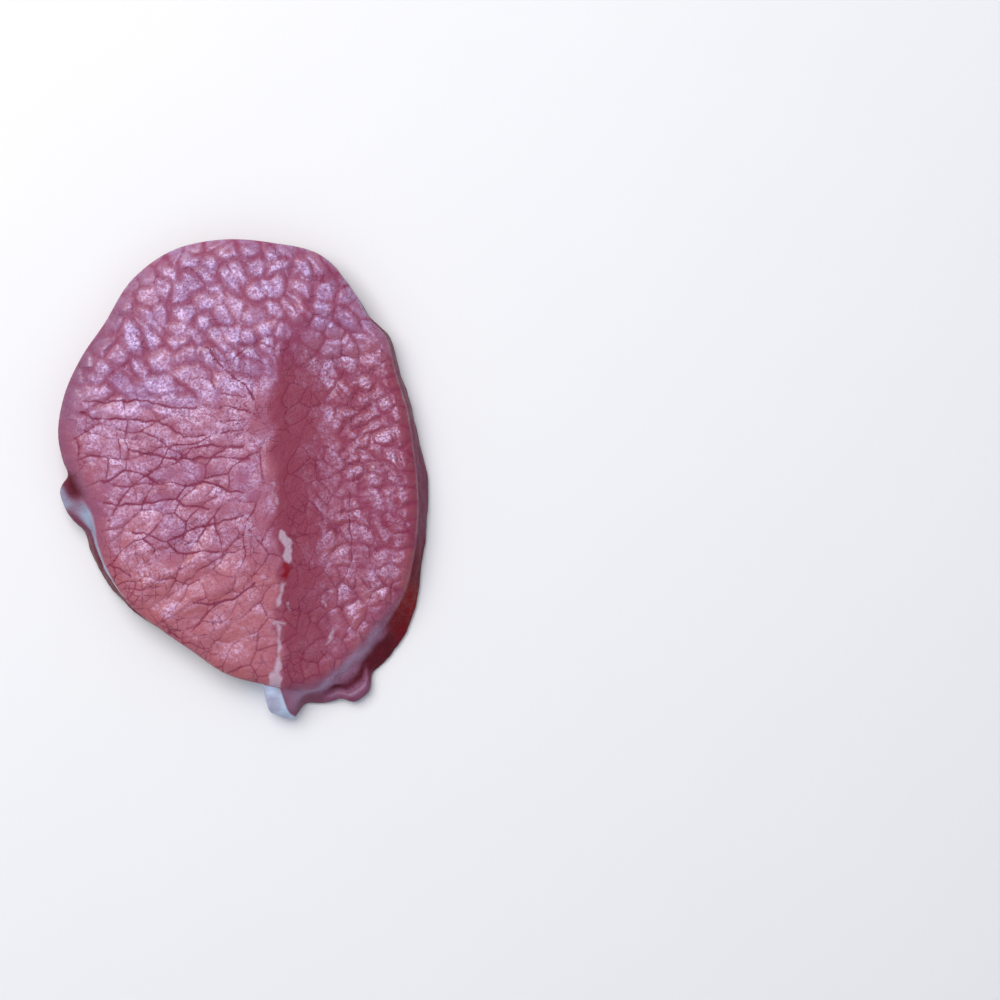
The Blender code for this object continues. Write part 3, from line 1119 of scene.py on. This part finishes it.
@dataclass
class Steak:
    """The slice of meat: one closed mesh with its relief, and the marks that its finish reads."""

    form: Form = field(default_factory=Form)
    finish: FleshFinish = field(default_factory=FleshFinish)
    plan: WallPlan = field(default_factory=WallPlan)
    face_cells: int = 268
    wall_rings: int = 18
    under_rings: tuple[float, ...] = (0.9, 0.6, 0.25)
    ring_spread: float = 1.15
    rim_share: float = 0.9999
    streak_reach: float = 9.0
    fat_streaks: tuple[Streak, ...] = (
        Streak(((6.1, -0.6), (7.4, -6.1)), 0.12),
        Streak(((8.3, -12.6), (10.0, -15.4), (9.9, -19.0)), 0.8),
        Streak(((8.8, -24.8), (7.3, -29.6)), 0.4),
        Streak(((6.4, -34.0), (8.4, -34.2)), 0.3),
        Streak(((7.8, -34.4), (7.7, -38.0), (8.0, -42.6)), 0.2),
        Streak(((7.9, -43.0), (7.2, -47.4)), 0.6),
        Streak(((6.9, -47.6), (6.2, -50.0)), 1.5),
        Streak(((9.7, -29.6), (10.4, -31.3)), 0.12),
        Streak(((20.5, -36.1), (19.1, -39.2)), 0.22),
        Streak(((18.0, -29.0), (19.0, -30.0)), 0.12),
    )
    blood_spots: tuple[Streak, ...] = (Streak(((9.3, -20.2), (9.2, -22.6)), 0.7),)

    def build(self, groups: Groups) -> bpy.types.Object:
        """Model the slice and dress it.

        Args:
            groups: The shared shader groups.

        Returns:
            The finished piece.
        """
        piece = self.start_mesh()
        places, marks = self.shape(piece)
        self.write(piece.data, places, marks)
        piece.data.materials.append(self.dress(groups))
        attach(piece, "root")
        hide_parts("steak")
        return piece

    def start_mesh(self) -> bpy.types.Object:
        """Make the closed mesh of the right layout: a square face, wall rings, under rings and a last face.

        Returns:
            A piece whose rings lie one unit below each other.
        """
        bpy.ops.object.select_all(action="DESELECT")
        bpy.ops.mesh.primitive_grid_add(x_subdivisions=self.face_cells, y_subdivisions=self.face_cells, size=2.0)
        piece = bpy.context.object
        piece.name = "raw_steak"
        bpy.ops.object.mode_set(mode="EDIT")
        bpy.ops.mesh.select_mode(type="EDGE")
        bpy.ops.mesh.select_all(action="DESELECT")
        bpy.ops.mesh.select_non_manifold(use_wire=False, use_multi_face=False, use_non_contiguous=False,
                                         use_verts=False)
        for _ in range(self.wall_rings + len(self.under_rings)):
            bpy.ops.mesh.extrude_edges_move(TRANSFORM_OT_translate={"value": (0.0, 0.0, -1.0)})
        bpy.ops.mesh.edge_face_add()
        bpy.ops.object.mode_set(mode="OBJECT")
        return piece

    def shape(self, piece: bpy.types.Object) -> tuple[Array, Marks]:
        """Move every vertex to its place on the slice.

        Args:
            piece: The mesh as start_mesh leaves it.

        Returns:
            Places in millimetres and the marks by name.
        """
        flat = np.empty(len(piece.data.vertices) * 3)
        piece.data.vertices.foreach_get("co", flat)
        start = flat.reshape(-1, 3)
        ring = np.rint(-start[:, 2]).astype(int)
        _, first, back = np.unique(np.round(start[:, :2], 5), axis=0, return_index=True, return_inverse=True)
        above = first[back.ravel()]
        x, y, height, bearing, to_edge, marks = self.shape_face(start[ring == 0])
        x, y, bearing, to_edge = x[above], y[above], bearing[above], to_edge[above]
        marks = {name: values[above] for name, values in marks.items()}
        on_wall = ring > 0
        down = 1.0 - (1.0 - np.clip(ring / self.wall_rings, 0.0, 1.0)) ** self.ring_spread
        height = height[above] * (1.0 - down)
        radius = self.form.wall_radius(bearing, down, height) - self.wall_relief(bearing, down, height)
        radius, height = self.form.roll(bearing, down, radius, height)
        under = np.array((1.0, *self.under_rings))[np.clip(ring - self.wall_rings, 0, len(self.under_rings))]
        angle = np.radians(bearing)
        x = np.where(on_wall, radius * under * np.cos(angle), x)
        y = np.where(on_wall, radius * under * np.sin(angle), y)
        marks = self.wall_marks(bearing, to_edge, down, height, marks, on_wall)
        marks["fat_gap"] = self.streak_gap(x, y, self.fat_streaks, on_wall)
        marks["blood_gap"] = self.streak_gap(x, y, self.blood_spots, on_wall)
        return np.column_stack((x, y, height)), marks

    def shape_face(self, start: Array) -> tuple[Array, ...]:
        """Shape the cut face.

        Args:
            start: Places on the square that the face is bent from.

        Returns:
            Places along X and Y, heights, bearings, distances from the rim, and the marks by name.
        """
        relief = Relief(self.form)
        bearing, share = self.square_to_disc(start[:, 0], start[:, 1])
        x, y = self.form.place(bearing, share)
        free = smooth_step(self.form.rim(bearing) * (1.0 - share), 0.2, 1.0)
        x, y = relief.snap(x, y, free)
        inner = share < self.rim_share
        bearing = np.where(inner, np.degrees(np.arctan2(y, x)), bearing)
        to_edge = np.where(inner, self.form.rim(bearing) - np.hypot(x, y), 0.0)
        rise, marks = relief.heights(x, y)
        rise = (rise + self.form.folds(x, y)) * (0.35 + 0.65 * smooth_step(to_edge, 0.0, 2.5))
        height = self.form.broad(x, y) + rise + self.form.shoulder(bearing, to_edge)
        return x, y, height, bearing, to_edge, marks

    @staticmethod
    def square_to_disc(across: Array, up: Array) -> tuple[Array, Array]:
        """Turn places of a square into bearings and shares of the radius.

        Args:
            across: Places along X, from -1 to 1.
            up: Places along Y, from -1 to 1.

        Returns:
            Bearings in degrees and shares of the radius.
        """
        x = across * np.sqrt(1.0 - up ** 2 / 2.0)
        y = up * np.sqrt(1.0 - across ** 2 / 2.0)
        return np.degrees(np.arctan2(y, x)), np.hypot(x, y)

    @staticmethod
    def wall_relief(bearing: Array, down: Array, height: Array) -> Array:
        """Work out how deep the wall is wrinkled.

        Args:
            bearing: Bearings in degrees.
            down: Shares of the way down from the rim.
            height: Heights above the board.

        Returns:
            Depths in millimetres, zero at the rim and of both signs below it.
        """
        x, y = on_ring(bearing)
        coarse = ripple(x, y, 4.2, 31.0 + height * 0.38)
        fine = ripple(x, y, 1.5, 33.0 + height * 0.8)
        rough = 1.0 + 1.6 * bell(turned(bearing, 309.0), 10.0, 4)
        calm = 1.0 - 0.7 * bell(turned(bearing, 281.0), 9.0, 4)
        groove = 0.7 * bell(turned(bearing, 297.0), 6.5, 4) * bell(down - 0.36, 0.1)
        return (0.17 * coarse + 0.06 * fine) * rough * calm * smooth_step(down, 0.0, 0.2) + groove

    def streak_gap(self, x: Array, y: Array, streaks: tuple[Streak, ...], on_wall: Array) -> Array:
        """Measure how far outside the nearest streak each place is.

        Args:
            x: Places along X.
            y: Places along Y.
            streaks: The streaks.
            on_wall: Whether a place is on the wall, where no streak is.

        Returns:
            Distances in millimetres, below zero inside a streak.
        """
        uneven = 1.0 + 0.5 * ripple(x, y, 2.6, 27.0)
        x, y = x + 0.4 * ripple(x, y, 1.7, 23.0), y + 0.4 * ripple(x, y, 1.7, 25.0)
        gaps = np.min([path_gap(x, y, streak.path) - streak.half_width * uneven for streak in streaks], axis=0)
        return np.where(on_wall, self.streak_reach, np.minimum(gaps, self.streak_reach))

    def wall_marks(self, bearing: Array, to_edge: Array, down: Array, height: Array,
                   marks: Marks, on_wall: Array) -> Marks:
        """Add the marks of the rim and the side wall.

        Args:
            bearing: Bearings in degrees.
            to_edge: Distances from the rim, on the face.
            down: Shares of the way down the wall.
            height: Heights above the board.
            marks: Marks of the face.
            on_wall: Whether a place is on the wall.

        Returns:
            All marks by name.
        """
        wall = np.where(on_wall, smooth_step(down, 0.0, 0.14), 0.0)
        for name in ("furrow", "hollow"):
            marks[name] = marks[name] * (1.0 - wall)
        away = np.where(on_wall, -down * self.plan.depth, to_edge)
        roll = self.form.roll_share(bearing, down) * on_wall
        marks["wall"] = wall
        # painted sheen along the top's rim, less in the hollows and none on the wall
        marks["sheen_edge"] = marks["top"] * bell(to_edge, self.plan.border_width)
        marks["sheen_edge"] = marks["sheen_edge"] * (1.0 - 0.9 * marks["hollow"]) * (1.0 - wall)
        fat = self.fat_marks(bearing, away, down, height, roll, on_wall)
        lump = fat.pop("lump")
        marks.update(fat)
        # the left rim takes the membrane's grey mauve, partly as painted sheen, and loses most of its lines
        left_rim = self.plan.left_rim.share(bearing) * (1.0 - smooth_step(away, 0.5, 6.0))
        marks["furrow"] = marks["furrow"] * (1.0 - 0.8 * left_rim)
        below_fold = self.plan.below_fold.share(bearing) * on_wall
        strip = self.plan.strip.share(bearing) * bell(away + 0.2, self.plan.strip_width, 4)
        upper = self.plan.upper.share(bearing) * (0.65 - 0.4 * smooth_step(down, 0.4, 0.9)) * on_wall
        marks["skin"] = np.clip(strip + roll + 0.8 * below_fold + upper + 0.8 * left_rim, 0.0, 1.0)
        marks["pool"] = np.where(on_wall, self.plan.pool.share(bearing) * smooth_step(-away, 0.2, 1.0), 0.0)
        shade = self.plan.shade.share(bearing) * smooth_step(down, 0.14, 0.34) * (1.0 - roll) * (1.0 - below_fold)
        shade = shade * np.clip(0.75 + 0.5 * ripple(*on_ring(bearing), 1.8, 51.0 + height), 0.3, 1.0)
        # painted shade over the pool's lower end, where the wall faces away from the light
        pool_dark = 0.4 * marks["pool"] * (1.0 - smooth_step(turned(bearing, self.plan.pool_shade_end), -3.0, 3.0))
        shade = np.maximum(shade * (1.0 - marks["pool"]), pool_dark)
        # painted shadow in the gap between the rim and the fat lump, reaching onto the face
        gap_shade = self.plan.gap_shade.share(bearing) * bell(away + 0.6, 2.0)
        # painted shade on the wall, the gap's shadow and some shade over the fat lump, less where the fat is pale
        marks["shade"] = np.clip(shade + gap_shade + 0.25 * lump, 0.0, 1.0) * (1.0 - 0.8 * marks["pale"])
        return marks

    def fat_marks(self, bearing: Array, away: Array, down: Array, height: Array,
                  roll: Array, on_wall: Array) -> Marks:
        """Mark the fat of the rim and the side wall.

        Args:
            bearing: Bearings in degrees.
            away: Distances inwards from the rim, below zero down the wall.
            down: Shares of the way down the wall.
            height: Heights above the board.
            roll: How far the wall is part of the rolled membrane.
            on_wall: Whether a place is on the wall.

        Returns:
            The lump alone, all pale fat, where the fat gets painted shade, and the pale fold, by name.
        """
        plan = self.plan
        lump = plan.lump.share(bearing) * smooth_step(height, 1.2, 3.0) * smooth_step(-away, 0.8, 2.6) * on_wall
        lump = lump * (0.8 - 0.5 * smooth_step(turned(bearing, plan.lump_fades), -1.5, 1.5))
        ribbon_width = plan.ribbon_width - 0.025 * turned(bearing, 190.0)
        ribbon = plan.ribbon.share(bearing) * bell(away + 0.5, ribbon_width)
        tab_end = plan.tab_end + plan.tab_spread * smooth_step(down, 0.0, 0.6)
        tab = plan.tab.share(bearing) * (1.0 - smooth_step(turned(bearing, tab_end), -0.8, 0.8))
        tab = tab * on_wall * smooth_step(-away, -0.2, 0.4)
        roll_edge = roll * bell(down - 0.56, 0.09)
        thin_line = plan.thin_line.share(bearing) * bell(away + 0.2, plan.line_width)
        sunk = 0.1 - 1.9 * bell(turned(bearing, plan.fold_sinks), 5.0)
        fold = plan.fold.share(bearing) * bell(away - sunk, plan.fold_width)
        fold = fold * np.clip(0.7 + 0.6 * ripple(*on_ring(bearing), 3.4, 53.0 + 0.5 * away), 0.15, 1.0)
        pale = np.clip(lump + ribbon + tab + 0.36 * roll_edge + 0.5 * thin_line, 0.0, 1.0)
        return {"lump": lump, "pale": pale, "fat_shade": plan.fat_shade.share(bearing), "fold": fold}

    def write(self, mesh: bpy.types.Mesh, places: Array, marks: Marks) -> None:
        """Store the places in metres inside the solid's box, and the marks as mesh attributes.

        Args:
            mesh: The mesh.
            places: Places in millimetres.
            marks: Marks by name.
        """
        low, high = places.min(axis=0), places.max(axis=0)
        places[:, :2] -= (low[:2] + high[:2]) / 2.0
        box = np.array(CAD_BOX[1]) - np.array(CAD_BOX[0])
        fit = np.minimum(1.0, box / ((high - low) * MM))
        mesh.vertices.foreach_set("co", (places * MM * fit).ravel())
        for name, values in marks.items():
            layer = mesh.attributes.new(name, "FLOAT", "POINT")
            layer.data.foreach_set("value", np.asarray(values, dtype=np.float32))
        mesh.polygons.foreach_set("use_smooth", np.ones(len(mesh.polygons), dtype=bool))
        mesh.update()

    def dress(self, groups: Groups) -> bpy.types.Material:
        """Make the raw meat's finish.

        Args:
            groups: The shared shader groups.

        Returns:
            The material.
        """
        look = self.finish
        paint = Painter("raw_beef")
        grain = paint.group(groups.grain, Scale=2200.0, Roughness=0.6)
        patch = paint.group(groups.grain, Scale=460.0, Roughness=0.55)
        speckle = paint.group(groups.grain, Scale=1700.0, Roughness=0.5)
        web = paint.group(groups.cracks, Scale=380.0, Width=0.05, Wander=0.0016)
        # dark lines between strands and bundles, partly painted shade in the grooves
        line = paint.sum_up("MULTIPLY", web.outputs["Line"], paint.ease(patch.outputs["Tone"], 0.42, 0.62, 0.0, 0.65))
        furrow = paint.ease(paint.mark("furrow"), 0.06, 0.7, 0.0, 0.88)
        colour = paint.lay(self.flesh_colour(paint, grain, patch), (line, look.furrow), (furrow, look.furrow))
        colour = self.streak_colour(paint, self.wall_colour(paint, colour, patch), patch)
        paint.connect(colour, "Base Color")
        paint.connect(paint.ease(patch.outputs["Tone"], 0.35, 0.68, 0.38, 0.55), "Roughness")
        dull = paint.sum_up("MAXIMUM", furrow, paint.sum_up("MULTIPLY", paint.mark("hollow"), 0.8))
        dry = paint.sum_up("SUBTRACT", paint.mark("wall"), paint.sum_up("MULTIPLY", paint.mark("pool"), 0.35))
        dull = paint.sum_up("MAXIMUM", dull, paint.sum_up("MULTIPLY", dry, 0.85))
        dull = paint.sum_up("MAXIMUM", dull, paint.mark("shade"))
        wet = paint.ease(speckle.outputs["Height"], 0.37, 0.62, 0.22, look.coat_weight)
        wet = paint.sum_up("MULTIPLY", wet, paint.ease(patch.outputs["Height"], 0.35, 0.62, 0.45, 1.0))
        wet = paint.sum_up("MULTIPLY", wet, paint.sum_up("MULTIPLY", paint.mark("gloss"), 1.05))
        paint.connect(paint.sum_up("MULTIPLY", wet, paint.ease(dull, 0.0, 1.0, 1.0, 0.03)), "Coat Weight")
        high = paint.sum_up("MULTIPLY", grain.outputs["Height"], 0.5)
        high = paint.sum_up("ADD", high, patch.outputs["Height"])
        high = paint.sum_up("SUBTRACT", high, paint.sum_up("MULTIPLY", line, 0.5))
        paint.bump(high, 0.0003)
        paint.shine(look.specular_level, look.coat_roughness, look.subsurface_weight)
        return paint.material

    def flesh_colour(self, paint: Painter, grain: bpy.types.ShaderNodeGroup,
                     patch: bpy.types.ShaderNodeGroup) -> Socket:
        """Lay out the colour of the lean meat, with its painted sheen and painted shade.

        Args:
            paint: The material being painted.
            grain: Fine grain.
            patch: Broader patches.

        Returns:
            The socket with the colour.
        """
        look, tone = self.finish, paint.mark("tone")
        # painted sheen with the bloom: bluish mauve over the top, in patches
        bloom_and_sheen = paint.sum_up("MULTIPLY", paint.ease(paint.mark("top"), 0.0, 1.0, 0.1, 0.8),
                             paint.ease(patch.outputs["Tone"], 0.36, 0.6, 0.4, 1.0))
        # painted shade on the seam's slope; the right part also turns darker red
        dark = paint.sum_up("MAXIMUM", paint.mark("band"), paint.sum_up("MULTIPLY", paint.mark("right"), 0.75))
        # painted sheen along the top's rim, broken up by the grain
        edge_sheen = paint.sum_up("MULTIPLY", paint.mark("sheen_edge"), paint.ease(grain.outputs["Tone"], 0.4, 0.6, 0.15, 0.85))
        return paint.lay(
            look.lean,
            (paint.ease(tone, 0.55, 0.95, 0.0, 0.65), look.warm),
            (paint.ease(tone, 0.4, 0.1, 0.0, 0.65), look.mauve),
            (paint.ease(paint.mark("lower"), 0.0, 1.0, 0.0, 0.65), look.warm),
            (bloom_and_sheen, look.bloom_and_sheen),
            (paint.ease(dark, 0.0, 1.0, 0.0, 0.9), look.deep),
            # darker rose in the hollows between the domes, partly painted shade
            (paint.ease(paint.mark("hollow"), 0.15, 0.95, 0.0, 0.75), look.rose),
            (edge_sheen, look.edge_sheen),
            (paint.ease(grain.outputs["Height"], 0.55, 0.35, 0.0, 0.3), look.rose),
        )

    def wall_colour(self, paint: Painter, colour: Socket, patch: bpy.types.ShaderNodeGroup) -> Socket:
        """Lay the side wall's meat, membrane, fat, blood and painted shade over the face's colour.

        Args:
            paint: The material being painted.
            colour: Colour so far.
            patch: Broader patches.

        Returns:
            The socket with the colour.
        """
        look = self.finish
        skin = paint.sum_up("MULTIPLY", paint.mark("skin"), paint.ease(patch.outputs["Tone"], 0.3, 0.6, 0.6, 1.0))
        # pale fat, with painted shade over the fat of the left wall
        fat = paint.lay(look.wall_fat, (paint.mark("fat_shade"), look.shaded_fat),
                        (paint.ease(patch.outputs["Tone"], 0.42, 0.62, 0.0, 0.35), look.skin))
        return paint.lay(
            colour,
            # the side wall's dark red, partly painted shade
            (paint.mark("wall"), look.side),
            (skin, look.skin),
            (paint.mark("pool"), look.pool_dark),
            (paint.mark("shade"), look.shade),
            (paint.mark("fold"), look.fold_fat),
            (paint.ease(paint.mark("pale"), 0.2, 0.75), fat),
        )

    def streak_colour(self, paint: Painter, colour: Socket, patch: bpy.types.ShaderNodeGroup) -> Socket:
        """Lay the streaks of fat and the spot of blood over the colour.

        Args:
            paint: The material being painted.
            colour: Colour so far.
            patch: Broader patches, which fray the streaks' edges.

        Returns:
            The socket with the colour.
        """
        fray = paint.ease(patch.outputs["Height"], 0.3, 0.7, -0.18, 0.18)
        fat = paint.ease(paint.sum_up("ADD", paint.mark("fat_gap"), fray), 0.45, -0.4, 0.0, 0.85)
        blood = paint.ease(paint.sum_up("ADD", paint.mark("blood_gap"), fray), 0.55, -0.35, 0.0, 0.95)
        return paint.lay(colour, (fat, self.finish.fat), (blood, self.finish.blood))


@dataclass(frozen=True)
class Lamp:
    """A square soft light: its place and side in metres, its power in watts and its colour."""

    place: tuple[float, float, float]
    side: float
    power: float
    colour: Colour


@dataclass
class Studio:
    """Pale floor, soft daylight from the upper left and a camera straight above, in metres."""

    frame_width: float = 0.24
    view_middle: tuple[float, float] = (0.0618, -0.0049)
    camera_height: float = 0.9
    sharp_height: float = 0.008
    floor_half: float = 1.6
    floor_drop: float = 0.0004
    floor_colour: Colour = (0.86, 0.86, 0.87)
    sensor_width: float = 36.0
    window: Lamp = Lamp((-0.25, 0.35, 0.75), 0.7, 6.6, (1.0, 0.95, 0.92))
    sky: Lamp = Lamp((-0.07, 0.14, 1.0), 0.7, 20.4, (0.50, 0.57, 1.0))
    world_colour: Colour = (0.84, 0.91, 1.0)
    world_strength: float = 0.5

    def build(self) -> None:
        """Set up the floor, the lights, the world and the camera."""
        self.lay_floor()
        self.place_camera()
        self.add_light("window", self.window)
        self.add_light("sky", self.sky).visible_diffuse = False
        self.light_world()
        bpy.context.scene.view_settings.view_transform = "Standard"

    def lay_floor(self) -> None:
        """Lay the pale floor."""
        bpy.ops.object.select_all(action="DESELECT")
        bpy.ops.mesh.primitive_grid_add(x_subdivisions=4, y_subdivisions=4, size=self.floor_half * 2.0)
        floor = bpy.context.object
        floor.name = "floor"
        for vertex in floor.data.vertices:
            vertex.co.z = -self.floor_drop
        paint = Painter("floor_paper")
        tone = add_node(paint.tree, "TexNoise", {"Vector": paint.place, "Scale": 30.0})
        darker = tuple(value * 0.985 for value in self.floor_colour)
        paint.connect(paint.blend(tone.outputs["Fac"], self.floor_colour, darker), "Base Color")
        paint.shader.inputs["Roughness"].default_value = 0.9
        floor.data.materials.append(paint.material)

    def place_camera(self) -> None:
        """Hang the camera straight above the middle of the picture."""
        lens = bpy.data.cameras.new("portrait")
        lens.sensor_width = self.sensor_width
        lens.lens = self.sensor_width * (self.camera_height - self.sharp_height) / self.frame_width
        camera = bpy.data.objects.new("portrait", lens)
        camera.location = (*self.view_middle, self.camera_height)
        bpy.context.scene.collection.objects.link(camera)
        bpy.context.scene.camera = camera

    @staticmethod
    def add_light(name: str, lamp: Lamp) -> bpy.types.Object:
        """Add a lamp that looks at the steak.

        Args:
            name: Name of the light.
            lamp: What it is like.

        Returns:
            The light.
        """
        data = bpy.data.lights.new(name, "AREA")
        data.size, data.energy, data.color = lamp.side, lamp.power, lamp.colour
        light = bpy.data.objects.new(name, data)
        light.location = lamp.place
        light.rotation_euler = (-Vector(lamp.place)).to_track_quat("-Z", "Y").to_euler()
        bpy.context.scene.collection.objects.link(light)
        return light

    def light_world(self) -> None:
        """Fill the shadows from a pale sky."""
        world = bpy.data.worlds.new("pale")
        world.use_nodes = True
        background = world.node_tree.nodes["Background"]
        background.inputs["Color"].default_value = (*self.world_colour, 1.0)
        background.inputs["Strength"].default_value = self.world_strength
        bpy.context.scene.world = world


def main() -> None:
    """Build the steak and its studio, and report each piece."""
    logging.basicConfig(level=logging.INFO, format="%(name)s: %(message)s")
    groups = Groups()
    piece = Steak().build(groups)
    LOG.info("%s: %d faces", piece.name, len(piece.data.polygons))
    Studio().build()
    LOG.info("studio: floor, lights and camera")


if __name__ == "__main__":
    main()
